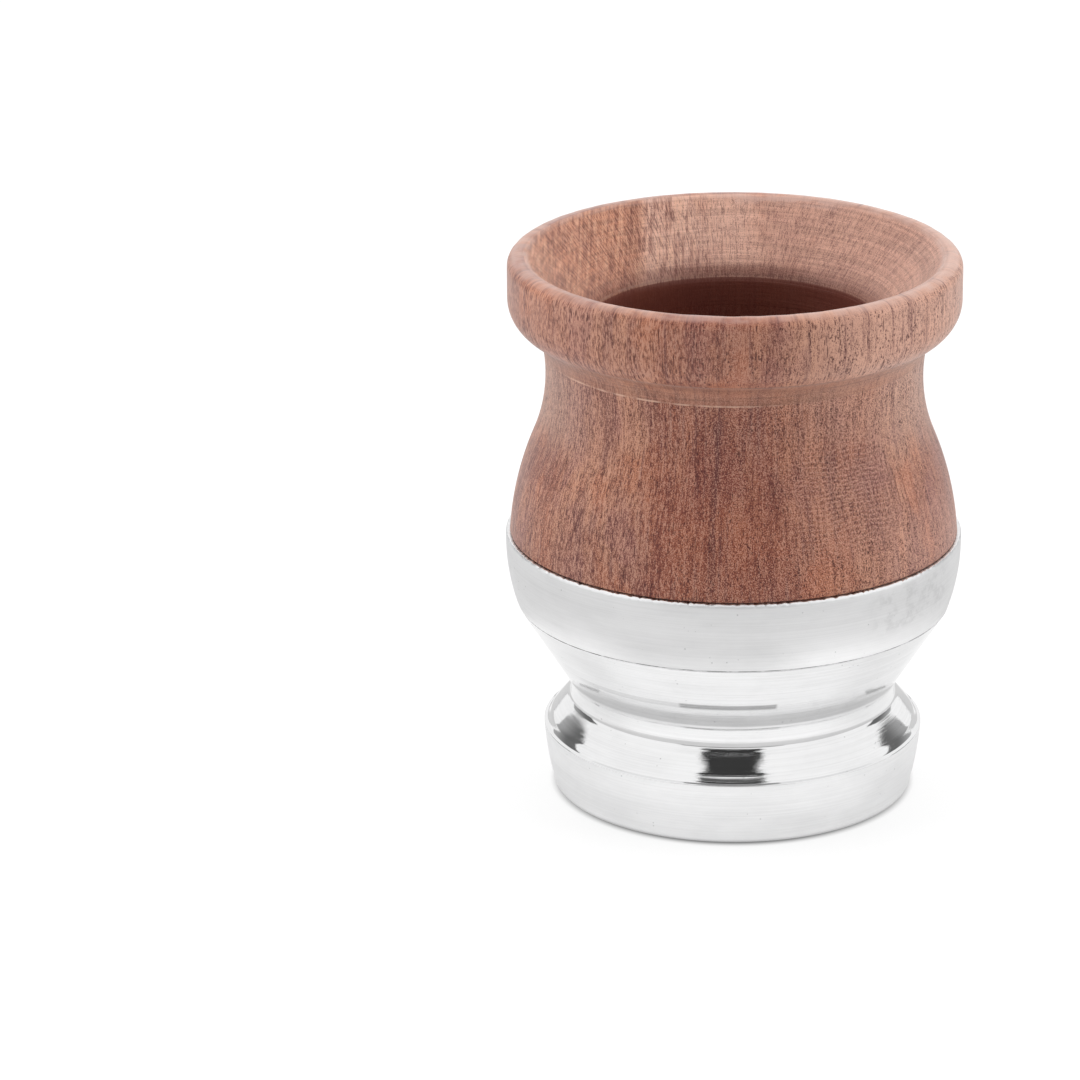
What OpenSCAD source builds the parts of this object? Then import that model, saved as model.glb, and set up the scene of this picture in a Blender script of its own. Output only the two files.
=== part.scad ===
/*
Mate cup: a turned hardwood cup with a flared mouth, held in a satin metal collar
that stands on a spun metal foot with a narrow waist.
Sizes are in millimetres. The cup stands on z = 0 and its axis is the Z axis.
*/

/* [Rim and mouth] */
// How far the rim stands out from the neck
rim_out = 6.25; // [5.5:0.05:8]
// Height of the rim band, from its lower edge to the lip
rim_h = 12; // [10.5:0.5:16]
// How far the rim's lower edge lies in from its side
rim_edge_in = 2.4; // [1.8:0.1:3]
// Rounding of the rim's side towards its lower edge
rim_round = 6; // [5:0.5:8]
// Rounding of the lip's outer edge
lip_out_round = 2; // [1:0.1:2.6]
// Width of the lip's level top, between its two rounded edges
lip_flat = 0.4; // [0.2:0.1:1.5]
// Rounding of the lip's inner edge
lip_in_round = 1.5; // [0.8:0.1:2.4]
// Angle of the flared mouth from the vertical
flare_angle = 45; // [38:1:52]
// Rounding between the flared mouth and the bore
bore_round = 4; // [2:0.5:6]
// Thickness of the wood at the neck, round the bore
neck_wall = 7.75; // [6.5:0.05:10]
// Depth of the hollow below the lip
hollow_depth = 67.5; // [50:0.5:70]
// Rounding between the wall of the hollow and its floor
floor_round = 8; // [3:0.5:12]

/* [Neck and belly] */
// Height of the cove under the rim
cove_h = 4.2; // [3:0.2:6]
// Radius of the cove under the rim
cove_curve = 4.8; // [4.6:0.2:12]
// Height of the neck from its narrowest place up to the cove
neck_top = 4.2; // [2:0.1:6]
// How far the neck lies in from the belly
neck_in = 6.2; // [5.2:0.1:7.2]
// Radius of the neck's hollow curve
neck_curve = 28.5; // [22:0.5:34]
// Height of the neck's narrowest place above the collar
neck_rise = 27.3; // [25:0.1:32]
// How far the belly lies in from the outside of the collar
belly_in = 0.55; // [0.4:0.05:0.8]
// Depth of the belly's widest place below the collar's top
belly_dip = 3.5; // [2:0.1:5]
// Rounding of the lower edge of the wood, where it stands on the floor of the foot
tenon_round = 1.5; // [0.5:0.1:3]

/* [Collar] */
// Diameter of the collar where it is widest, which the other diameters follow
collar_d = 76; // [68:0.5:84]
// Height of the collar
collar_h = 12.3; // [10:0.1:16]
// Depth of the collar's widest place below its top
collar_dip = 1.5; // [0:0.1:3]
// Rounding of the collar's outer edge at its top
collar_round = 0.3; // [0.1:0.05:0.4]
// How far the seam between the collar and the foot lies in from the collar's widest place
seam_in = 1.85; // [1.5:0.05:2.5]
// Rounding of both outer edges at the seam
seam_round = 0.15; // [0.1:0.05:0.3]

/* [Foot] */
// Height of the foot, up to its seam with the collar
foot_h = 32.8; // [30:0.1:36]
// How far the waist lies in from the seam
waist_in = 8.85; // [7.5:0.05:9.5]
// Height of the waist's narrowest place above the bead
waist_rise = 0.8; // [0.4:0.1:2]
// Radius of the waist's hollow curve
waist_curve = 6.5; // [4:0.5:12]
// Rounding of the crease between the waist and the bead
crease_round = 0.7; // [0.4:0.1:1]
// Height of the bead and the step under it, from the band up to the waist
bead_h = 5; // [4.2:0.1:6]
// Radius of the bead's bulge
bead_curve = 60; // [30:1:120]
// Height of the step between the band and the bead
step_h = 1.3; // [1.1:0.1:1.8]
// How far the bead's lower edge lies in from the band
step_in = 1.25; // [1:0.05:1.5]
// Radius of the step's hollow curve
step_curve = 3.5; // [2.5:0.5:8]
// Rounding between the step and the narrow ledge at the band's upper edge
ledge_round = 0.5; // [0.3:0.05:0.7]
// How far the band under the step stands out from the waist
band_out = 4.45; // [3.8:0.05:5.4]
// Height of the band, from the ground up to the step
band_h = 11.2; // [9:0.1:12]
// Rounding of the band's upper edge
band_round = 0.2; // [0.1:0.05:0.3]
// Radius of the band's slight bulge
band_curve = 50; // [20:1:150]
// How far the band's lower end lies in from its top
base_in = 1.5; // [1:0.05:2]
// Rounding of the edge that the foot stands on
base_round = 1.5; // [1:0.1:3]

/* [Metal and fit] */
// Thickness of the metal of the collar and the foot
wall = 1.2; // [1:0.05:1.4]
// Clearance between the wood and the metal round it
fit = 0.1; // [0.05:0.05:0.2]
// Gap between the shoulder of the wood and the collar's top
shoulder_gap = 0.15; // [0.05:0.05:0.4]

/* [Hidden] */

wood_colour = [0.61, 0.39, 0.30];
satin_colour = [0.83, 0.83, 0.84];
polished_colour = [0.90, 0.90, 0.91];

// Angle of one step along an arc of an outline
step_angle = 2;
// Steps round the axis
$fn = 128;

// Heights, from the ground up
bead_z = band_h + bead_h;
waist_z = bead_z + waist_rise;
seam_z = foot_h;
collar_top = seam_z + collar_h;
shoulder_z = collar_top + shoulder_gap;
neck_z = collar_top + neck_rise;
cove_bottom = neck_z + neck_top;
rim_bottom = cove_bottom + cove_h;
cup_top = rim_bottom + rim_h;
hollow_z = cup_top - hollow_depth;

// Radii, from the collar to the other pieces
collar_r = collar_d / 2;
belly_r = collar_r - belly_in;
neck_r = belly_r - neck_in;
rim_r = neck_r + rim_out;
rim_edge_r = rim_r - rim_edge_in;
bore_r = neck_r - neck_wall;
seam_r = collar_r - seam_in;
waist_r = seam_r - waist_in;
band_r = waist_r + band_out;
base_r = band_r - base_in;

/* Outlines: each is a list of [radius, height] points, drawn downwards
   on the outside of a piece and turned about the axis. */

// Unit vector in a direction
function toward(angle) = [cos(angle), sin(angle)];

// Direction of one point as seen from another
function direction(from, to) = atan2(to.y - from.y, to.x - from.x);

// Points along an arc about a centre, from one angle to another
function arc(centre, r, from, to) =
    let (n = max(2, ceil(abs(to - from) / step_angle)))
    [for (i = [0:n]) centre + r * toward(from + (to - from) * i / n)];

function reversed(points) = [for (i = [len(points) - 1:-1:0]) points[i]];

// Arc of radius r from p to q that turns to the left on its way
function left_arc(p, q, r) =
    let (d = q - p,
         reach = sqrt(r * r - d * d / 4),
         centre = (p + q) / 2 + reach / norm(d) * [-d.y, d.x],
         from = direction(centre, p),
         to = direction(centre, q))
    arc(centre, r, from, to < from ? to + 360 : to);

// Arc of radius r from p to q that turns to the right on its way
function right_arc(p, q, r) = reversed(left_arc(q, p, r));

/* The collar bulges along one arc. Its inner side and the wood behind it
   follow arcs about the same centre. */
bulge_z = collar_top - collar_dip;
bulge_h = bulge_z - seam_z;
bulge_curve = (bulge_h * bulge_h + seam_in * seam_in) / (2 * seam_in);
bulge_centre = [collar_r - bulge_curve, bulge_z];

// The bulge from one height down to another, at a depth below the collar's surface
function bulge(from_z, to_z, depth) =
    let (r = bulge_curve - depth)
    arc(bulge_centre, r, asin((from_z - bulge_z) / r), asin((to_z - bulge_z) / r));

/* The foot's cone runs straight from the seam to where it touches the waist's curve. */
waist_centre = [waist_r + waist_curve, waist_z];
seam_point = [seam_r, seam_z];
touch_angle = direction(waist_centre, seam_point)
    + acos(waist_curve / norm(seam_point - waist_centre));
bead_angle = 180 + asin(waist_rise / waist_curve);

// The cone and the waist down to an angle of its curve, at a depth below the surface
function cone_and_waist(depth, end_angle) = concat(
    [[seam_r + depth / cos(touch_angle), seam_z]],
    arc(waist_centre, waist_curve + depth, touch_angle, end_angle));

/* Under the waist a rounded crease leads to the bead, and a hollow step to the band. */
waist_end = waist_centre + waist_curve * toward(bead_angle);
bead_end = [band_r - step_in, band_h + step_h];
bead_tilt = direction(waist_end, bead_end) + 90
    + asin(norm(bead_end - waist_end) / (2 * bead_curve));
bead_start = waist_end + crease_round * (toward(bead_angle - 180) - toward(bead_tilt));
band_edge = [band_r, band_h] - [band_round, band_round];
// Tilts of the surface at the step's lower end, and on the ledge at its outer end
step_tilt = 50;
ledge_tilt = 70;
ledge_end = band_edge + band_round * toward(ledge_tilt);
step_end = ledge_end - ledge_round * (toward(step_tilt) - toward(ledge_tilt));

// The outside of the foot, from its seam down to the edge that it stands on
function foot_outside() =
    let (side = cone_and_waist(0, bead_angle),
         top_r = seam_r - seam_round)
    concat(
        arc([top_r, seam_z] - [seam_round, seam_round], seam_round, 90, 0),
        [for (i = [1:len(side) - 1]) side[i]],
        left_arc(waist_end, bead_start, crease_round),
        right_arc(bead_start, bead_end, bead_curve),
        left_arc(bead_end, step_end, step_curve),
        arc(step_end + ledge_round * toward(step_tilt), ledge_round, 180 + step_tilt, 180 + ledge_tilt),
        arc(band_edge, band_round, ledge_tilt, 0),
        right_arc([band_r, band_edge.y], [base_r, base_round], band_curve),
        arc([base_r - base_round, base_round], base_round, 0, -90));

// The inside of the foot's shell, from its seam down to its floor
function foot_inside() =
    let (side = cone_and_waist(wall, bead_angle),
         bead_corner = side[len(side) - 1] - [0, wall / 2],
         band_start = [band_r - wall, band_h - step_h / 2],
         inner_round = max(base_round - wall, seam_round))
    concat(
        side,
        right_arc(bead_corner, band_start, bead_curve - wall),
        right_arc(band_start, [base_r - wall, wall + inner_round], band_curve - wall),
        arc([base_r - wall - inner_round, wall + inner_round], inner_round, 0, -90));

/* The wood's neck and belly are two arcs that touch, so the radius of the belly's
   arc follows from the neck's. */
belly_z = collar_top - belly_dip;
neck_centre = [neck_r + neck_curve, neck_z];
belly_across = neck_centre.x - belly_r;
belly_up = neck_z - belly_z;
belly_curve = (belly_across * belly_across + belly_up * belly_up - neck_curve * neck_curve)
    / (2 * neck_in);
belly_centre = [belly_r - belly_curve, belly_z];
belly_touch = direction(belly_centre, neck_centre);

// The outside of the wood from the lip down to the shoulder over the collar
function wood_outside() =
    let (rim_centre_r = rim_r - rim_round,
         under_angle = acos((rim_edge_r - rim_centre_r) / rim_round),
         rim_centre = [rim_centre_r, rim_bottom + rim_round * sin(under_angle)],
         neck = arc(neck_centre, neck_curve, 180 - asin(neck_top / neck_curve), 180 + belly_touch))
    concat(
        arc([rim_r, cup_top] - lip_out_round * [1, 1], lip_out_round, 90, 0),
        arc(rim_centre, rim_round, 0, -under_angle),
        left_arc([rim_edge_r, rim_bottom], neck[0], cove_curve),
        neck,
        arc(belly_centre, belly_curve, belly_touch, asin((shoulder_z - belly_z) / belly_curve)));

// The wood inside the metal, from the shoulder down to the floor of the foot
function wood_in_metal() =
    let (depth = wall + fit,
         tenon_r = waist_r - depth)
    concat(
        bulge(shoulder_z, seam_z, depth),
        cone_and_waist(depth, 180),
        arc([tenon_r, wall] + tenon_round * [-1, 1], tenon_round, 0, -90),
        [[0, wall]]);

// The hollow of the wood, from the middle of its floor up to the lip
function wood_hollow() =
    let (mouth_angle = 180 - flare_angle,
         lip_centre = [rim_r - lip_out_round - lip_flat, cup_top - lip_in_round],
         lip_end = lip_centre + lip_in_round * toward(mouth_angle),
         edge_r = bore_r + bore_round,
         flare_in = lip_end.x - edge_r - bore_round * cos(mouth_angle),
         flare_end_z = lip_end.y - flare_in / tan(flare_angle),
         bore_top = flare_end_z - bore_round * sin(mouth_angle))
    concat(
        [[0, hollow_z]],
        arc([bore_r, hollow_z] + floor_round * [-1, 1], floor_round, -90, 0),
        arc([edge_r, bore_top], bore_round, 180, mouth_angle),
        arc(lip_centre, lip_in_round, mouth_angle, 90));

// Turned hardwood: rim, neck, belly, and the tenon that stands in the foot
module wooden_cup() {
    color(wood_colour)
        rotate_extrude()
            polygon(concat(wood_outside(), wood_in_metal(), wood_hollow()));
}

// Satin band round the lower belly, standing on the foot's edge
module collar() {
    top_z = collar_top - collar_round;
    low_z = seam_z + seam_round;
    side = bulge(top_z, low_z, 0);
    low_r = side[len(side) - 1].x;
    color(satin_colour)
        rotate_extrude()
            polygon(concat(
                arc([side[0].x - collar_round, top_z], collar_round, 90, 0),
                side,
                arc([low_r - seam_round, low_z], seam_round, 0, -90),
                reversed(bulge(collar_top, seam_z, wall))));
}

// Spun shell with a closed flat floor: cone, waist, bead, step, band and base
module foot() {
    color(polished_colour)
        rotate_extrude()
            polygon(concat(foot_outside(), [[0, 0], [0, wall]], reversed(foot_inside())));
}

wooden_cup();
collar();
foot();
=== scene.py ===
"""Looks of the mate cup: turned hardwood in a satin collar on a polished foot."""

import math

import bmesh
import bpy
import numpy as np
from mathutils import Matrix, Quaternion, Vector


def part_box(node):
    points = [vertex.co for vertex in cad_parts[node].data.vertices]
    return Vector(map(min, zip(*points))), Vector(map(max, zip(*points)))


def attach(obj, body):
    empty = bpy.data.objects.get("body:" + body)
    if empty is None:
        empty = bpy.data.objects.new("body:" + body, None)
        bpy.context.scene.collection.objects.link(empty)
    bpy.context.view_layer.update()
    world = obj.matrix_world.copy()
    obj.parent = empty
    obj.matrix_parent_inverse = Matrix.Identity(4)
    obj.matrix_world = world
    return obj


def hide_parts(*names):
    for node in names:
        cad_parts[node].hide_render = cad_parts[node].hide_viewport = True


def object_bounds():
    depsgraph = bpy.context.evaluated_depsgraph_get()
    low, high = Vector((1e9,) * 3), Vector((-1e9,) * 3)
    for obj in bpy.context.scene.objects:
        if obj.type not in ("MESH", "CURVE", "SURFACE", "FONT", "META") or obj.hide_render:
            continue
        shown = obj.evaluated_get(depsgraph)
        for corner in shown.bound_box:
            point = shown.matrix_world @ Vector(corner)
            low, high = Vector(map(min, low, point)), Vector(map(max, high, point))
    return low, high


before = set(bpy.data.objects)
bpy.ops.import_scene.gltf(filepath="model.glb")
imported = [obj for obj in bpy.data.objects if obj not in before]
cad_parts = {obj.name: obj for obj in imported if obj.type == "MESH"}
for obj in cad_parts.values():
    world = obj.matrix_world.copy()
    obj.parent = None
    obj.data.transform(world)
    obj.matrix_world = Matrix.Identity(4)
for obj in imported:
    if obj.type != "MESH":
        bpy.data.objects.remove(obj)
cad_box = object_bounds()

MM = 0.001
SEAM_Z, COLLAR_TOP = (corner[2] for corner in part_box("collar"))

# The seam steps up by SEAM_STEP where the turn from the front is STEP_TURN degrees
SEAM_STEP = 0.14 * MM
STEP_TURN = -36

# A point closer to the axis than this lies on it
AXIS = 1e-7


# Outlines of the turned pieces, read from the CAD nodes

def outline(node):
    """The [radius, height] points of a turned CAD node, in order along its outline."""
    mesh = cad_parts[node].data
    places = [(round(v.co.x, 7), round(v.co.z, 7)) if abs(v.co.y) < AXIS and v.co.x > -AXIS else None
              for v in mesh.vertices]
    beside = {}
    for edge in mesh.edges:
        a, b = (places[v] for v in edge.vertices)
        if a and b and a != b:
            beside.setdefault(a, set()).add(b)
            beside.setdefault(b, set()).add(a)
    ends = sorted(p for p in beside if len(beside[p]) == 1)
    here = ends[0] if ends else min(beside)
    chain, last = [here], None
    while True:
        ahead = [p for p in sorted(beside[here]) if p != last and p not in chain[1:]]
        if not ahead or ahead[0] == chain[0]:
            break
        last, here = here, ahead[0]
        chain.append(here)
    if ends:
        first, last = ([(0.0, z)] if r > 0 else [] for r, z in (chain[0], chain[-1]))
        chain = first + chain + last
    else:
        chain.append(chain[0])
    points = np.array(chain)
    area = np.sum(points[:-1, 0] * points[1:, 1] - points[1:, 0] * points[:-1, 1])
    return points if area > 0 else points[::-1]


# The closest points on an outline, the largest turn between two of them, and the edges shaded sharp
FINEST = 0.03 * MM
BEND = math.radians(8)
SHARP = math.radians(32)


def smoothed(points, spacing, corner=14):
    """The outline with points spacing(radius, height) apart, closer on a bend, curved between corners."""
    step = np.diff(points, axis=0)
    heading = np.degrees(np.unwrap(np.arctan2(step[:, 1], step[:, 0])))
    corners = [0] + [i + 1 for i in range(len(heading) - 1) if abs(heading[i + 1] - heading[i]) > corner]
    corners.append(len(points) - 1)
    made = [points[:1]]
    for first, last in zip(corners[:-1], corners[1:]):
        run = points[first:last + 1]
        legs = np.hypot(*np.diff(run, axis=0).T)
        along = np.concatenate([[0], np.cumsum(legs)])
        unit = np.diff(run, axis=0) / legs[:, None]
        slope = np.empty_like(run)
        slope[0], slope[-1] = unit[0], unit[-1]
        if len(run) > 2:
            before, after = legs[:-1, None], legs[1:, None]
            slope[1:-1] = (unit[:-1] * after + unit[1:] * before) / (after + before)
        turns = np.radians(np.abs(np.diff(heading[first:last])))
        bend = turns / (legs[1:] + legs[:-1]) * 2 if len(run) > 2 else np.zeros(1)
        bend_at = along[1:-1] if len(run) > 2 else along[:1]
        places, at = [], 0.0
        while at < along[-1]:
            middle = [np.interp(at, along, run[:, i]) for i in (0, 1)]
            tight = BEND / max(np.interp(at, bend_at, bend), 1e-6)
            at += min(spacing(*middle), max(tight, FINEST))
            places.append(at)
        places = np.array(places) * along[-1] / places[-1]
        leg = np.clip(np.searchsorted(along, places, side="left") - 1, 0, len(legs) - 1)
        h = legs[leg][:, None]
        t = ((places - along[leg])[:, None]) / h
        made.append((1 + 2 * t) * (1 - t) ** 2 * run[leg] + t * (1 - t) ** 2 * h * slope[leg]
                    + t * t * (3 - 2 * t) * run[leg + 1] + t * t * (t - 1) * h * slope[leg + 1])
    return np.clip(np.concatenate(made), points.min(axis=0), points.max(axis=0))


def ragged(angle, seed, slowest, fastest):
    """A fixed uneven line round the axis, from about -1 to 1."""
    dice = np.random.default_rng(seed)
    waves = np.arange(slowest, fastest)
    sizes = dice.normal(size=len(waves)) / math.sqrt(len(waves))
    return sum(size * np.sin(wave * angle + dice.uniform(0, math.tau)) for wave, size in zip(waves, sizes))


def near(value, middle, reach):
    """One at middle, falling smoothly to nothing at reach from it."""
    return np.clip(1 - ((value - middle) / reach) ** 2, 0, 1) ** 2


def turned(name, points, steps, wander=None):
    """A piece turned about the Z axis, with wander(angle, radius, height) added to the last two."""
    closed = np.allclose(points[0], points[-1])
    points = points[:-1] if closed else points
    angle = np.linspace(0, math.tau, steps, endpoint=False)
    a, r = np.meshgrid(angle, points[:, 0], indexing="ij")
    z = np.broadcast_to(points[:, 1], r.shape)
    if wander:
        dr, dz = wander(a, r, z)
        r, z = r + dr, z + dz
    count = len(points)
    verts = np.stack([r * np.cos(a), r * np.sin(a), z], axis=-1).reshape(-1, 3)
    faces = []
    ring = range(count) if closed else range(count - 1)
    for i in range(steps):
        j = (i + 1) % steps
        for k in ring:
            m = (k + 1) % count
            quad = [i * count + k, j * count + k, j * count + m, i * count + m]
            if points[k, 0] < AXIS:
                quad = [k, *quad[2:]]
            elif points[m, 0] < AXIS:
                quad = [*quad[:2], m]
            faces.append(quad)
    mesh = bpy.data.meshes.new(name)
    mesh.from_pydata(verts.tolist(), [], faces)
    mesh.validate()
    mesh.shade_smooth()
    mesh.set_sharp_from_angle(angle=SHARP)
    used = np.zeros(len(mesh.vertices), bool)
    used[np.array([v for p in mesh.polygons for v in p.vertices])] = True
    if not used.all():
        bm = bmesh.new()
        bm.from_mesh(mesh)
        bmesh.ops.delete(bm, geom=[v for v in bm.verts if not v.link_faces], context="VERTS")
        bm.to_mesh(mesh)
        bm.free()
    piece = bpy.data.objects.new(name, mesh)
    bpy.context.scene.collection.objects.link(piece)
    return piece


# Materials

class Nodes:
    """Short calls for the nodes of one material."""

    def __init__(self, name):
        self.material = bpy.data.materials.new(name)
        self.material.use_nodes = True
        self.tree = self.material.node_tree
        self.tree.nodes.clear()
        self.out = self.tree.nodes.new("ShaderNodeOutputMaterial")

    def add(self, kind, inputs=None, **settings):
        node = self.tree.nodes.new("ShaderNode" + kind)
        for key, value in settings.items():
            setattr(node, key, value)
        for key, value in (inputs or {}).items():
            self.put(node.inputs[key], value)
        return node

    def cylinder(self):
        """Turn from the front towards +X in degrees, radius and height in millimetres."""
        part = self.add("SeparateXYZ", {"Vector": self.add("TexCoord").outputs["Object"]}).outputs
        flat = self.add("CombineXYZ", {"X": part["X"], "Y": part["Y"]}).outputs[0]
        across = self.add("VectorMath", {0: flat}, operation="LENGTH").outputs["Value"]
        front = self.math("MULTIPLY", part["Y"], -1.0)
        turn = self.math("MULTIPLY", self.math("ARCTAN2", part["X"], front), math.degrees(1))
        return turn, self.math("DIVIDE", across, MM), self.math("DIVIDE", part["Z"], MM)

    def drum(self, radius):
        """Object coordinates moved out to one radius, so that a pattern runs up the surface."""
        part = self.add("SeparateXYZ", {"Vector": self.add("TexCoord").outputs["Object"]}).outputs
        flat = self.add("CombineXYZ", {"X": part["X"], "Y": part["Y"]}).outputs[0]
        unit = self.add("VectorMath", {0: flat}, operation="NORMALIZE").outputs["Vector"]
        out = self.add("VectorMath", {0: unit, "Scale": radius * MM}, operation="SCALE").outputs["Vector"]
        up = self.add("CombineXYZ", {"Z": part["Z"]}).outputs[0]
        return self.add("VectorMath", {0: out, 1: up}, operation="ADD").outputs["Vector"]

    def put(self, socket, value):
        if isinstance(value, bpy.types.NodeSocket):
            self.tree.links.new(value, socket)
        else:
            socket.default_value = value

    def math(self, how, a, b=None):
        node = self.add("Math", operation=how)
        self.put(node.inputs[0], a)
        if b is not None:
            self.put(node.inputs[1], b)
        return node.outputs[0]

    def place(self, scale, shift=(0, 0, 0), base=None):
        """Object coordinates in millimetres, scaled."""
        if base is None:
            base = self.add("TexCoord").outputs["Object"]
        scale = tuple(s / MM for s in scale)
        return self.add("Mapping", {"Vector": base, "Scale": scale, "Location": shift}).outputs[0]

    def noise(self, vector, detail=2.0, rough=0.5, scale=1.0, warp=0.0):
        node = self.add("TexNoise", {"Vector": vector, "Scale": scale, "Detail": detail,
                                     "Roughness": rough, "Distortion": warp})
        return node.outputs["Fac"]

    def cells(self, vector):
        """Distance from the nearest of a field of scattered points."""
        return self.add("TexVoronoi", {"Vector": vector, "Scale": 1.0}).outputs["Distance"]

    def span(self, value, low, high, to_low=0.0, to_high=1.0, smooth=True):
        node = self.add("MapRange", {"Value": value, "From Min": low, "From Max": high,
                                     "To Min": to_low, "To Max": to_high},
                        interpolation_type="SMOOTHSTEP" if smooth else "LINEAR")
        return node.outputs["Result"]

    def between(self, value, low, high, soft):
        """One from low to high, falling to nothing over soft on both sides."""
        above = self.span(value, low - soft, low)
        return self.math("MULTIPLY", above, self.span(value, high, high + soft, 1, 0))

    def all(self, *values):
        product = values[0]
        for value in values[1:]:
            product = self.math("MULTIPLY", product, value)
        return product

    def scaled(self, colour, level):
        node = self.add("VectorMath", {0: colour, "Scale": level}, operation="SCALE")
        return node.outputs["Vector"]

    def mix(self, share, a, b, how="MIX"):
        node = self.add("Mix", data_type="RGBA", blend_type=how)
        self.put(node.inputs["Factor"], share)
        for socket, value in ((node.inputs[6], a), (node.inputs[7], b)):
            self.put(socket, value if isinstance(value, bpy.types.NodeSocket) else srgb(value))
        return node.outputs[2]

    def bump(self, height, distance, strength):
        return self.add("Bump", {"Height": height, "Distance": distance, "Strength": strength}).outputs[0]

    def finish(self, shader):
        self.tree.links.new(shader.outputs[0], self.out.inputs["Surface"])
        return self.material


def srgb(colour):
    """An 8-bit display colour as the linear colour that a node takes."""
    return tuple(c / 12.92 if c <= 0.04045 else ((c + 0.055) / 1.055) ** 2.4
                 for c in (v / 255 for v in colour)) + (1.0,)


# Radians of the lathe's waving arcs in a millimetre of height
ARC_TURNS = 8.2


def hardwood():
    """Reddish hardwood: vertical grain in bands, short dark pores, and lathe marks across it."""
    n = Nodes("hardwood")
    turn, radius, height = n.cylinder()
    part = n.add("SeparateXYZ", {"Vector": n.add("TexCoord").outputs["Object"]}).outputs
    across = n.math("DIVIDE", part["X"], MM)
    # Turn on the front half, mirrored on the back half, so that it has no jump there
    lean = n.math("MULTIPLY", n.math("ARCSINE", n.math("DIVIDE", across, radius)), math.degrees(1))
    aside = n.math("ABSOLUTE", turn)
    clouds = n.noise(n.place((0.05, 0.05, 0.035)), detail=3, rough=0.55)
    bands = n.noise(n.place((0.25, 0.25, 0.014)), detail=3, rough=0.6, warp=0.6)
    drum = n.drum(35)
    streaks = n.noise(n.place((1.3, 1.3, 0.06), base=drum), detail=3, rough=0.65)
    fibre = n.noise(n.place((4.6, 4.6, 1.0), base=drum), detail=2, rough=0.6)
    grit = n.noise(n.place((7.5, 7.5, 4.6)), detail=1, rough=0.6)
    fleck = n.noise(n.place((1.7, 1.7, 0.14), base=drum), detail=2, rough=0.6)

    # Where things are: the flared mouth, the bore with painted shade growing with depth, the cove beneath
    # the rim, the rim's side and the lip
    hollow = n.all(n.span(radius, 34.4, 35.0, 1, 0), n.span(height, 80.5, 81.5))
    inside = n.span(radius, 30, 29)
    # Painted shade: stronger down the rounding into the bore and full inside it
    deep = n.math("MAXIMUM", n.span(height, 85.0, 82.0, 0, 0.4), n.span(height, 81.6, 81.3))
    bore_shade = n.all(inside, deep)
    cove = n.all(n.between(height, 76.7, 80.7, 0.25), n.span(radius, 35.1, 35.3, 1, 0))
    rim = n.all(n.span(radius, 34.8, 35.4), n.span(height, 80.4, 81.2))
    lip = n.all(n.span(height, 91.9, 92.6), n.span(radius, 33.2, 34.2))

    # The figure: clouds and upright bands, with an orange or a purple tinge
    tone = n.mix(n.span(clouds, 0.4, 0.6), (182, 127, 100), (146, 89, 70))
    tone = n.mix(n.span(bands, 0.42, 0.66, 0, 0.85), tone, (128, 80, 69))
    tinge = n.noise(n.place((0.13, 0.13, 0.07), shift=(3, 1, 7)), detail=2, rough=0.6)
    tone = n.mix(n.span(tinge, 0.52, 0.64, 0, 0.5), tone, (180, 106, 70))
    tone = n.mix(n.span(tinge, 0.46, 0.36, 0, 0.5), tone, (138, 88, 84))

    # A darker heart at the front, partly the wood's red stripe and partly painted shade, with a dark scar;
    # patches that are darker or paler; painted light on the rim's sides and a painted sheen on the sides
    # higher up
    # Painted shade: the front darker and redder, on top of the wood's own red stripe
    red_heart_and_shade = n.all(n.between(turn, -18, 6, 12), n.span(height, 80, 76, 0.45, 1))
    tone = n.mix(n.all(red_heart_and_shade, n.span(bands, 0.2, 0.6, 0.35, 0.75)), tone, (134, 68, 52))
    scar = n.all(n.between(turn, -5.6, -4.6, 1.6), n.between(height, 46, 72, 3),
                 n.span(fleck, 0.4, 0.55, 0.3, 1))
    tone = n.mix(n.math("MULTIPLY", scar, 0.5), tone, (84, 42, 46))
    lower = n.all(n.between(turn, 14, 40, 8), n.between(height, 53, 63, 5))
    tone = n.mix(n.math("MULTIPLY", lower, 0.35), tone, (130, 74, 60))
    upper = n.all(n.span(lean, 8, 25), n.span(height, 66, 72), n.span(clouds, 0.3, 0.5, 0.6, 1))
    tone = n.mix(n.math("MULTIPLY", upper, 0.4), tone, (196, 150, 128))
    # Painted light: the rim paler on its left and right sides, where the side lamps fall on it
    tone = n.mix(n.all(rim, n.span(lean, -15, -50, 0, 0.2)), tone, (204, 164, 146))
    tone = n.mix(n.all(rim, n.span(lean, 5, 42, 0, 0.65)), tone, (210, 170, 152))
    tone = n.mix(n.math("MULTIPLY", rim, 0.15), tone, (208, 144, 116))
    # Painted sheen: the sides paler near the limbs, higher up on the cup
    painted_side_sheen = n.all(n.span(aside, 38, 64), n.between(height, 68, 74.5, 8), n.span(aside, 85, 130, 1, 0))
    tone = n.mix(n.math("MULTIPLY", painted_side_sheen, 0.4), tone, (206, 176, 158))
    low_left = n.all(n.between(turn, -65, -38, 10), n.span(height, 60, 50, 0, 0.3))
    tone = n.mix(low_left, tone, (122, 76, 62))
    low_right = n.all(n.between(turn, 48, 75, 10), n.span(height, 58, 50, 0, 0.3))
    tone = n.mix(low_right, tone, (210, 164, 146))
    redder = n.all(n.between(turn, -14, 20, 12), n.span(height, 77, 74))
    tone = n.mix(redder, tone, (255, 240, 230), "MULTIPLY")
    glow = n.all(n.between(turn, -12, 8, 14), n.between(height, 46, 56, 8))
    tone = n.mix(n.math("MULTIPLY", glow, 0.3), tone, (166, 92, 58))
    streaked = n.span(hollow, 0, 1, 1, 0.3)
    tone = n.mix(n.all(n.span(streaks, 0.5, 0.72, 0, 0.65), streaked), tone, (98, 56, 56))
    tone = n.mix(n.math("MULTIPLY", cove, 0.5), tone, (152, 108, 88))

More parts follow.
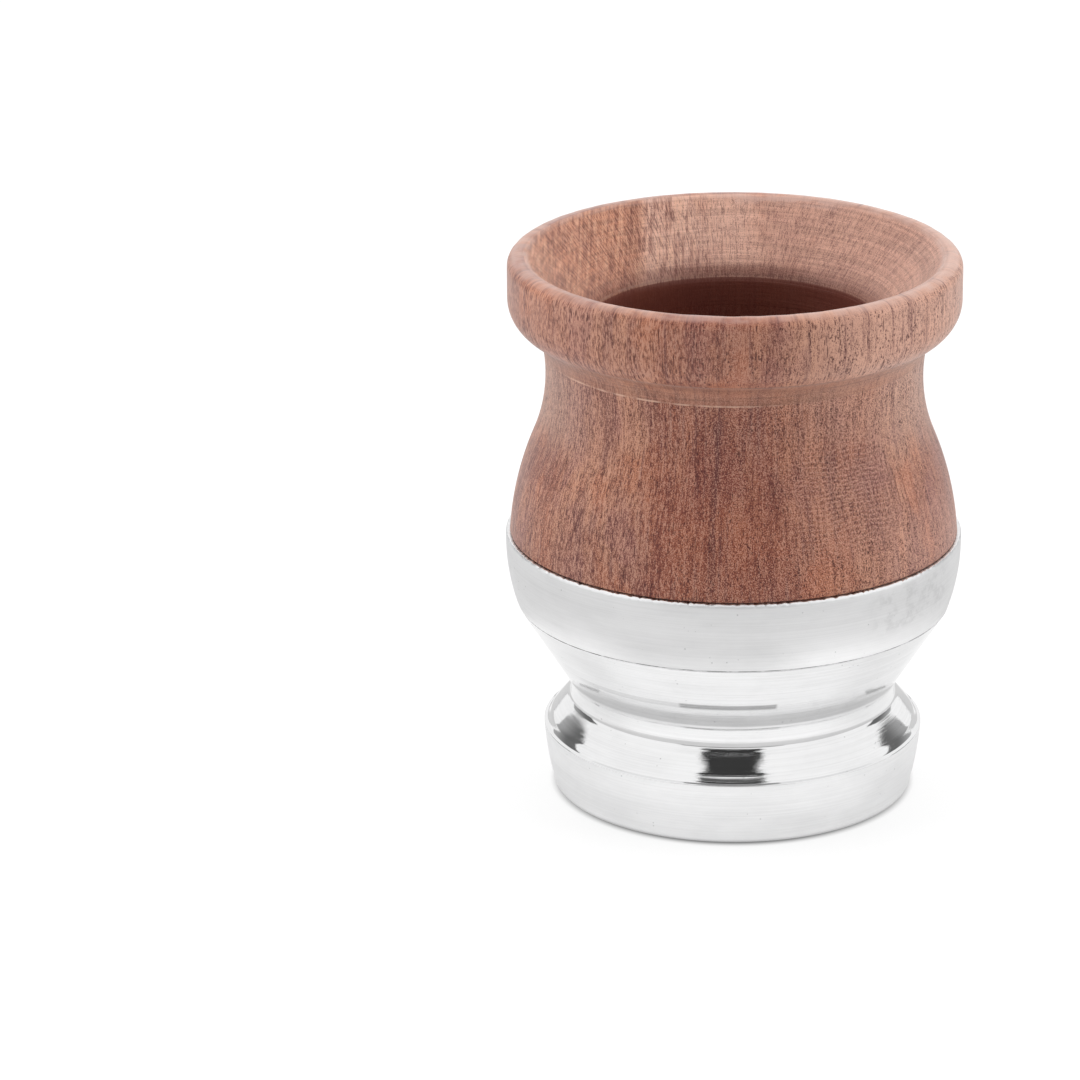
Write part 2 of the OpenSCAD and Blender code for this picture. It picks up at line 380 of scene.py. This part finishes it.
    # The mouth: orange on the left with a dark vein, then pale pink, then brown, and dark round the bore
    mouth = n.mix(n.span(across, -17, -14), (186, 130, 102), (216, 176, 158))
    mouth = n.mix(n.span(across, 0, 9), mouth, (188, 146, 130))
    tone = n.mix(n.all(hollow, n.span(bands, 0.42, 0.7, 0.85, 0.6)), tone, mouth)
    vein = n.all(n.between(across, -17.9, -16.6, 1.2), n.span(bands, 0.35, 0.5, 0.5, 1), hollow)
    tone = n.mix(n.math("MULTIPLY", vein, 0.35), tone, (116, 72, 58))
    rays = n.noise(n.place((2.1, 0.14, 0.14)), detail=2, rough=0.65)
    raying = n.all(hollow, n.span(across, 2, -12, 0.2, 1))
    tone = n.mix(n.all(n.span(rays, 0.5, 0.38), raying, 0.6), tone, (112, 66, 54))
    tone = n.mix(n.all(n.span(rays, 0.52, 0.64), raying, 0.45), tone, (216, 170, 142))
    ring = n.all(inside, n.between(height, 81.9, 82.8, 0.9), n.span(aside, 135, 165, 0.25, 0.6))
    tone = n.mix(ring, tone, (90, 52, 44))

    # Lathe marks: level lines in the cove and the mouth, and waving arcs on the belly's right
    line_at = n.add("CombineXYZ", {"X": n.math("MULTIPLY", across, 0.04),
                                   "Y": n.math("MULTIPLY", radius, 0.9),
                                   "Z": n.math("MULTIPLY", height, 1.5)}).outputs[0]
    lines = n.noise(line_at, detail=3, rough=0.7, scale=1.4)
    wobble = n.noise(n.place((0.12, 0.12, 0.12), shift=(5, 2, 9)), detail=2)
    phase = n.math("ADD", n.math("MULTIPLY", height, ARC_TURNS), n.math("MULTIPLY", wobble, 26))
    arcs = n.math("SINE", n.math("ADD", phase, n.math("MULTIPLY", turn, 0.08)))
    chatter = n.all(n.between(turn, 22, 42, 10), n.between(height, 55, 66, 6),
                    n.span(fleck, 0.4, 0.55, 0.4, 1))
    tone = n.mix(n.all(n.span(arcs, 0, 0.9), chatter, 0.34), tone, (214, 168, 148))
    tone = n.mix(n.all(n.span(arcs, 0, -0.9), chatter, 0.3), tone, (104, 58, 48))
    marked = n.math("MAXIMUM", hollow, cove)
    tone = n.scaled(tone, n.span(lines, 0.3, 0.7, 0.95, 1.05))
    lined = n.math("MULTIPLY", n.span(lines, 0.35, 0.65, -0.13, 0.15), marked)
    tone = n.scaled(tone, n.math("ADD", 1.0, lined))

    # Grain: pale and dark fibres and grit, weaker where the lathe has smoothed them, and dark pores
    grain = n.math("SUBTRACT", 1.0, n.math("MULTIPLY", cove, 0.5))
    grain = n.math("SUBTRACT", grain, n.math("MULTIPLY", hollow, 0.3))
    grain = n.all(grain, n.span(lip, 0, 1, 1, 0.35), n.span(rim, 0, 1, 1, 0.75))
    even = n.span(lean, -25, 5, 0.5, 0.78)
    even = n.math("SUBTRACT", even, n.math("MULTIPLY", n.math("MAXIMUM", rim, hollow), 0.25))
    mixed = n.math("MULTIPLY", fibre, n.math("SUBTRACT", 1.0, even))
    mixed = n.math("ADD", mixed, n.math("MULTIPLY", grit, even))
    mixed = n.math("ADD", mixed, n.span(fleck, 0.3, 0.7, 0.05, -0.05, False))
    tone = n.mix(n.all(n.span(mixed, 0.5, 0.58), grain, 0.62), tone, (208, 158, 136))
    tone = n.mix(n.all(n.span(mixed, 0.49, 0.4), grain, 0.88), tone, (84, 38, 36))

    def pores(width, length, size, density, shift):
        cell = n.cells(n.place((1 / width, 1 / width, 1 / length), shift=shift, base=drum))
        grown = n.span(n.noise(n.place((0.4, 0.4, 0.09), shift=shift), detail=2), *density)
        depth = n.math("SUBTRACT", n.math("MULTIPLY", grown, size), cell)
        return n.span(depth, -0.01, 0.07)

    dots = n.all(pores(0.5, 0.8, 0.3, (0.34, 0.58), (11, 5, 17)), n.span(lean, -30, -5, 0.3, 1))
    short = pores(0.46, 2.2, 0.26, (0.36, 0.62), (0, 0, 0))
    long = n.all(pores(0.62, 6.5, 0.2, (0.34, 0.6), (31, 7, 3)),
                 n.math("MAXIMUM", rim, n.span(lean, 0, -25, 0.35, 1)))
    dark = n.all(n.math("MAXIMUM", n.math("MAXIMUM", short, long), dots), n.span(grain, 0.3, 0.75),
                 n.span(hollow, 0, 1, 1, 0.45))
    tone = n.mix(n.math("MULTIPLY", dark, 0.75), tone, (70, 34, 34))

    # A pale line on the arris beneath the cove, partly wear and partly a painted highlight; a painted
    # shadow line beneath the rim; the lip paler, partly wear and partly a painted highlight; a painted
    # highlight on the bore's edge; and painted shade in the bore
    # Patchy noise that breaks up the wear and the painted light and shade below
    patchiness = n.span(n.noise(n.place((0.35, 0.35, 1.2)), detail=2), 0.35, 0.6, 0.2, 1)
    # Partly painted highlight: a pale line along the arris, broken up like wear
    arris_highlight_and_wear = n.all(n.between(height, 76.46, 76.6, 0.14), n.span(radius, 33, 32),
                  n.between(turn, -50, 0, 20), patchiness)
    tone = n.mix(n.math("MULTIPLY", arris_highlight_and_wear, 0.75), tone, (212, 172, 150))
    # Painted shadow: a dark line beneath the rim's overhang
    rim_shadow_line = n.all(n.between(height, 80.62, 80.78, 0.15), n.between(turn, 8, 90, 20), patchiness)
    tone = n.mix(n.math("MULTIPLY", rim_shadow_line, 0.8), tone, (100, 66, 54))
    # Partly painted highlight: the lip paler all round and the top of the mouth paler at the back, partly
    # as wear
    back = n.all(n.span(height, 91.2, 92.2), n.span(turn, 138, 158), hollow)
    lip_wear_and_highlight = n.math("MAXIMUM", n.math("MULTIPLY", lip, 0.35), n.math("MULTIPLY", back, 0.5))
    tone = n.mix(n.all(lip_wear_and_highlight, patchiness), tone, (196, 164, 154))
    # Painted highlight: a pale line along the bore's edge at the back left
    bore_edge_highlight = n.all(inside, n.between(height, 81.65, 81.85, 0.2), n.between(turn, -150, -90, 20), patchiness)
    tone = n.mix(n.math("MULTIPLY", bore_edge_highlight, 0.5), tone, (186, 150, 132))
    # Painted shade darkening the bore
    tone = n.mix(n.math("MULTIPLY", bore_shade, 0.85), tone, (96, 42, 34))

    scored = n.all(lines, marked, n.span(lean, -40, 60, 0.6, 2))
    relief = n.math("ADD", n.math("MULTIPLY", fibre, 0.7), scored)
    normal = n.bump(relief, 0.00005, 0.8)
    rough = n.math("SUBTRACT", n.span(dark, 0, 1, 0.42, 0.7), n.math("MULTIPLY", lip, 0.12))
    return n.finish(n.add("BsdfPrincipled", {
        "Base Color": tone, "Roughness": rough, "Normal": normal, "IOR": 1.45,
        "Sheen Weight": 0.2, "Sheen Roughness": 0.35}))


def metal(name, levels, roughs, ends):
    """Turned aluminium whose level and roughness go from the first to the second between two heights."""
    n = Nodes(name)
    turn, radius, height = n.cylinder()
    lines = n.noise(n.place((0.02, 0.02, 5.5)), detail=4, rough=0.75)
    broad = n.noise(n.place((0.03, 0.03, 0.9)), detail=3, rough=0.6)
    blots = n.noise(n.place((0.07, 0.07, 0.2)), detail=4, rough=0.65)
    patch = n.noise(n.place((0.35, 0.35, 0.35)), detail=3, rough=0.7)
    pits = n.cells(n.place((0.8, 0.8, 0.8)))
    upper = n.span(height, *ends)
    seam = n.math("ADD", n.span(turn, STEP_TURN - 1.5, STEP_TURN + 1.5, 0, SEAM_STEP / MM), SEAM_Z / MM)
    seam = n.span(n.math("ABSOLUTE", n.math("SUBTRACT", height, seam)), 0.025, 0.085, 1, 0)
    shade = n.math("ADD", n.span(lines, 0.3, 0.7, -0.03, 0.03), n.span(blots, 0.35, 0.7, 0.02, -0.035))
    # A stain on the collar, a painted reflection as a grey band across the front of the cone, and a painted
    # darker reflection on the collar's lower front
    stained = n.all(n.between(turn, 42, 64, 8), n.between(height, 37.5, 43.5, 1.5),
                    n.span(patch, 0.44, 0.66))
    shade = n.math("SUBTRACT", shade, n.math("MULTIPLY", stained, 0.1))
    # Painted reflection: a grey band across the front of the cone
    cone_reflection_streak = n.all(n.between(height, 24.2, 24.8, 0.4), n.span(turn, -58, -50),
                   n.span(turn, -17, -15.5, 0.3, 1), n.span(turn, 13, 14.2, 1, 0),
                   n.span(lines, 0.3, 0.6, 0.5, 1))
    shade = n.math("SUBTRACT", shade, n.math("MULTIPLY", cone_reflection_streak, 0.5))
    # Painted reflection: the collar's lower front darker, as if reflecting a dim front
    dim_front_reflection = n.all(n.span(height, 40, 35.5, 0, 0.17), n.span(height, 32.7, 32.9),
                   n.between(turn, -20, 4, 22))
    shade = n.math("SUBTRACT", shade, dim_front_reflection)
    # Rare pits, the darker bottom of the foot, and the seam's dark hairline
    rare = n.span(n.noise(n.place((0.3, 0.3, 0.3))), 0.55, 0.65)
    shade = n.math("SUBTRACT", shade, n.all(n.span(pits, 0.13, 0.09), rare, 0.25))
    level = n.math("ADD", shade, n.span(upper, 0, 1, *levels))
    level = n.math("SUBTRACT", level, n.span(height, 10, 2, 0, 0.08))
    hairline = n.math("MULTIPLY", seam, n.span(patch, 0.35, 0.6, 0.4, 1))
    level = n.math("MULTIPLY", level, n.span(hairline, 0, 1, 1, 0.12))
    colour = n.add("CombineColor", {"Red": level, "Green": level, "Blue": n.math("MULTIPLY", level, 1.004)})
    rough = n.math("ADD", n.span(upper, 0, 1, *roughs), n.span(lines, 0.35, 0.7, -0.02, 0.03))
    normal = n.bump(n.math("ADD", lines, broad), 0.00001, 0.6)
    return n.finish(n.add("BsdfPrincipled", {"Base Color": colour.outputs[0], "Metallic": 1.0,
                                             "Roughness": rough, "Normal": normal}))


# The pieces

HIDDEN = 3.0 * MM


def wood_spacing(r, z):
    """Close above the collar, and farther apart in the hollow's depth and inside the metal."""
    seen = z > 45.6 * MM and (z > 76 * MM or r > 30 * MM)
    return 0.6 * MM if seen else HIDDEN


def collar_spacing(r, z):
    """Close all round."""
    return 0.4 * MM


def foot_spacing(r, z):
    """Close on the outside, and farther apart towards the axis."""
    return 0.4 * MM if r > 27 * MM else HIDDEN


def with_flat_ledge(points):
    """The foot's outline with the ledge on its band cut level, up to 0.2 mm below the CAD outline."""
    across, up = points.T / MM
    edge_r, edge_z = 31.62, 11.19
    cut = (across > edge_r - 0.9) & (across < edge_r) & (up > edge_z) & (up < edge_z + 1)
    first, last = np.flatnonzero(cut)[[0, -1]]
    ledge = [(-0.87, 0.83), (-0.62, 0.43), (-0.45, 0.17), (-0.42, 0.125), (-0.38, 0.09), (-0.33, 0.07),
             (-0.17, 0.035)]
    if across[first] > across[last]:
        ledge.reverse()
    added = (np.array(ledge) + (edge_r, edge_z)) * MM
    return np.concatenate([points[:first], added, points[last + 1:]])


def seam_wander(angle, radius, height):
    """The seam's small step at the front left, shared by the two pieces that meet there."""
    front = np.degrees(np.arctan2(np.cos(angle), -np.sin(angle)))
    step = 1 / (1 + np.exp((front - STEP_TURN) / 0.8))
    return 0, SEAM_STEP * step * near(height, SEAM_Z, 0.8 * MM)


def collar_wander(angle, radius, height):
    """The seam's step and the burrs along the collar's top edge."""
    edge = near(height, COLLAR_TOP, 0.5 * MM)
    burrs = np.minimum(ragged(angle, 3, 60, 300) - 0.4, 0)
    inwards = np.maximum(ragged(angle, 5, 40, 260), 0)
    seam_up = seam_wander(angle, radius, height)[1]
    return -0.05 * MM * edge * inwards, seam_up + 0.1 * MM * edge * burrs


def wood_wander(angle, radius, height):
    """The slightly uneven lip."""
    lip = near(height, cad_box[1][2], 1.6 * MM)
    inwards = 1 + ragged(angle, 8, 6, 60)
    down = np.maximum(1 + ragged(angle, 9, 6, 60), 0)
    return -0.03 * MM * lip * inwards, -0.02 * MM * lip * down


for name, node, shape, spacing, steps, wander, material in (
        ("cup_wood", "wooden_cup", None, wood_spacing, 448, wood_wander, hardwood()),
        ("cup_collar", "collar", None, collar_spacing, 720, collar_wander,
         metal("satin_metal", (0.93, 0.93), (0.34, 0.34), (0, 1))),
        ("cup_foot", "foot", with_flat_ledge, foot_spacing, 416, seam_wander,
         metal("polished_metal", (0.85, 0.86), (0.33, 0.045), (10.9, 11.1)))):
    points = shape(outline(node)) if shape else outline(node)
    piece = turned(name, smoothed(points, spacing), steps, wander)
    piece.data.materials.append(material)
    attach(piece, "root")
    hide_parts(node)
    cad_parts[node].data.materials.clear()
    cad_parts[node].data.materials.append(material)


# Floor, backdrop and light

WHITE = (1, 1, 1, 1)
FLOOR_REACH, FLOOR_GLOW, FLOOR_MATT = 4.0, 0.78, 0.25


def stage_card(name, corners, material, seen=False):
    mesh = bpy.data.meshes.new(name)
    mesh.from_pydata([tuple(c) for c in corners], [], [list(range(len(corners)))])
    card = bpy.data.objects.new(name, mesh)
    card.data.materials.append(material)
    bpy.context.scene.collection.objects.link(card)
    card.visible_camera = seen
    card.visible_shadow = seen
    return card


def floor_material():
    """A white floor, shaded at the foot, whose reflection is a little greyer farther away."""
    n = Nodes("floor")
    turn, away, _ = n.cylinder()
    shiny = n.add("LightPath").outputs["Is Glossy Ray"]
    lit = n.math("MULTIPLY", n.span(away, 28.0, 31.2), FLOOR_GLOW)
    side = n.span(n.math("ABSOLUTE", turn), 45, 85, 0, 0.14)
    far = n.math("MULTIPLY", shiny, n.math("MAXIMUM", n.span(away, 62, 84, 0, 0.5), side))
    shown = n.math("MULTIPLY", lit, n.math("SUBTRACT", 1.0, far))
    glow = n.add("Emission", {"Color": WHITE, "Strength": shown})
    matt = n.add("BsdfDiffuse", {"Color": (FLOOR_MATT, FLOOR_MATT, FLOOR_MATT, 1)})
    both = n.add("AddShader")
    n.put(both.inputs[0], matt.outputs[0])
    n.put(both.inputs[1], glow.outputs[0])
    return n.finish(both)


def plain_emitter(name, level):
    n = Nodes(name)
    return n.finish(n.add("Emission", {"Color": (level, level, level, 1), "Strength": 1.0}))


def side_emitter(name):
    """Grey that gets lighter towards the back."""
    n = Nodes(name)
    turn = n.math("ABSOLUTE", n.cylinder()[0])
    grey = n.span(turn, 120, 139, 0.15, 0.42)
    return n.finish(n.add("Emission", {"Color": WHITE, "Strength": grey}))


floor_corners = [(x * FLOOR_REACH, y * FLOOR_REACH, 0) for x, y in ((-1, -1), (1, -1), (1, 1), (-1, 1))]
stage_card("floor", floor_corners, floor_material(), seen=True)


# Cards seen only in reflections, with corners given as (turn from the front, elevation) in degrees

def overhead(turn, up, height=1.0):
    turn, away = math.radians(turn), height / math.tan(math.radians(up))
    return away * math.sin(turn), -away * math.cos(turn), height


def beside(turn, up, away=2.0):
    turn = math.radians(turn)
    return away * math.sin(turn), -away * math.cos(turn), away * math.tan(math.radians(up))


def both_sides(corners):
    return [(-turn, up) for turn, up in reversed(corners)] + corners


DARK_EDGE = [(30, 76), (32.5, 65), (32, 62.3), (30.5, 61), (27, 59.7), (22, 58.4), (22, 57), (26, 55),
             (25.5, 44)]
GREY_EDGE = [(22, 44), (22, 34)]
SIDE_EDGE = [(112, 2.5), (139.5, 2.5), (138.5, 12.2), (136.9, 14.7), (132.8, 18.9), (126.5, 23.0),
             (121.5, 25.2), (117.8, 26.1), (112, 26.5)]
FRONT_EDGE = [(-35, 0.5), (35, 0.5), (35, 14), (-35, 14)]
for name, edge, level in (("dark_overhead", DARK_EDGE, 0.045), ("grey_overhead", GREY_EDGE, 0.12)):
    stage_card(name, [overhead(*c) for c in both_sides(edge)], plain_emitter(name, level))
for name, side in (("grey_left", -1), ("grey_right", 1)):
    card = stage_card(name, [beside(side * turn, up) for turn, up in SIDE_EDGE], side_emitter(name))
    card.visible_diffuse = False
stage_card("grey_front", [beside(*c) for c in FRONT_EDGE], plain_emitter("grey_front", 0.3))

world = bpy.data.worlds.new("tent")
bpy.context.scene.world = world
world.use_nodes = True
world.node_tree.nodes.clear()
w_out = world.node_tree.nodes.new("ShaderNodeOutputWorld")
w_path = world.node_tree.nodes.new("ShaderNodeLightPath")
w_dull = world.node_tree.nodes.new("ShaderNodeMapRange")
w_back = world.node_tree.nodes.new("ShaderNodeBackground")
w_dull.inputs["To Min"].default_value = 1.0
w_dull.inputs["To Max"].default_value = 0.5
w_back.inputs["Color"].default_value = WHITE
world.node_tree.links.new(w_path.outputs["Is Diffuse Ray"], w_dull.inputs["Value"])
world.node_tree.links.new(w_dull.outputs["Result"], w_back.inputs["Strength"])
world.node_tree.links.new(w_back.outputs[0], w_out.inputs["Surface"])


def softbox(name, at, size, power, aim=(0, 0, 0.05)):
    light = bpy.data.lights.new(name, "AREA")
    light.shape = "RECTANGLE"
    light.size, light.size_y = size
    light.energy = power
    lamp = bpy.data.objects.new(name, light)
    bpy.context.scene.collection.objects.link(lamp)
    lamp.location = at
    lamp.rotation_mode = "QUATERNION"
    lamp.rotation_quaternion = (Vector(aim) - Vector(at)).to_track_quat("-Z", "Y")
    lamp.visible_glossy = False
    lamp.visible_camera = False
    return lamp


softbox("left_box", (-0.9, -0.1, 0.5), (0.8, 0.8), 5.0)
softbox("right_box", (0.9, -0.1, 0.5), (0.8, 0.8), 5.0)
softbox("top_box", (0, 0.25, 1.1), (0.9, 0.9), 6.6)


# Camera, aimed so that AIM_POINT falls on AIM_PIXEL of the 1080 x 1080 photograph

PHOTO = 1080
SENSOR = 36
FOCAL = 5680
AIM_POINT = Vector((0, 0, 0.045))
AIM_PIXEL = (733.3, 526.8)
DISTANCE = 0.95
ELEVATION = math.radians(19.55)
ROLL = math.radians(0.32)

lens = bpy.data.cameras.new("camera")
lens.sensor_width = SENSOR
lens.lens = FOCAL / PHOTO * SENSOR
lens.clip_start, lens.clip_end = 0.05, 50
camera = bpy.data.objects.new("camera", lens)
bpy.context.scene.collection.objects.link(camera)
camera.location = AIM_POINT + DISTANCE * Vector((0, -math.cos(ELEVATION), math.sin(ELEVATION)))
towards = (AIM_POINT - camera.location).to_track_quat("-Z", "Y")
ray = Vector((AIM_PIXEL[0] - PHOTO / 2, PHOTO / 2 - AIM_PIXEL[1], -FOCAL))
swing = Vector((0, 0, -1)).rotation_difference(ray)
camera.rotation_mode = "QUATERNION"
camera.rotation_quaternion = towards @ Quaternion((0, 0, 1), ROLL) @ swing.inverted()
bpy.context.scene.camera = camera
bpy.context.scene.view_settings.view_transform = "Standard"

bpy.context.view_layer.update()
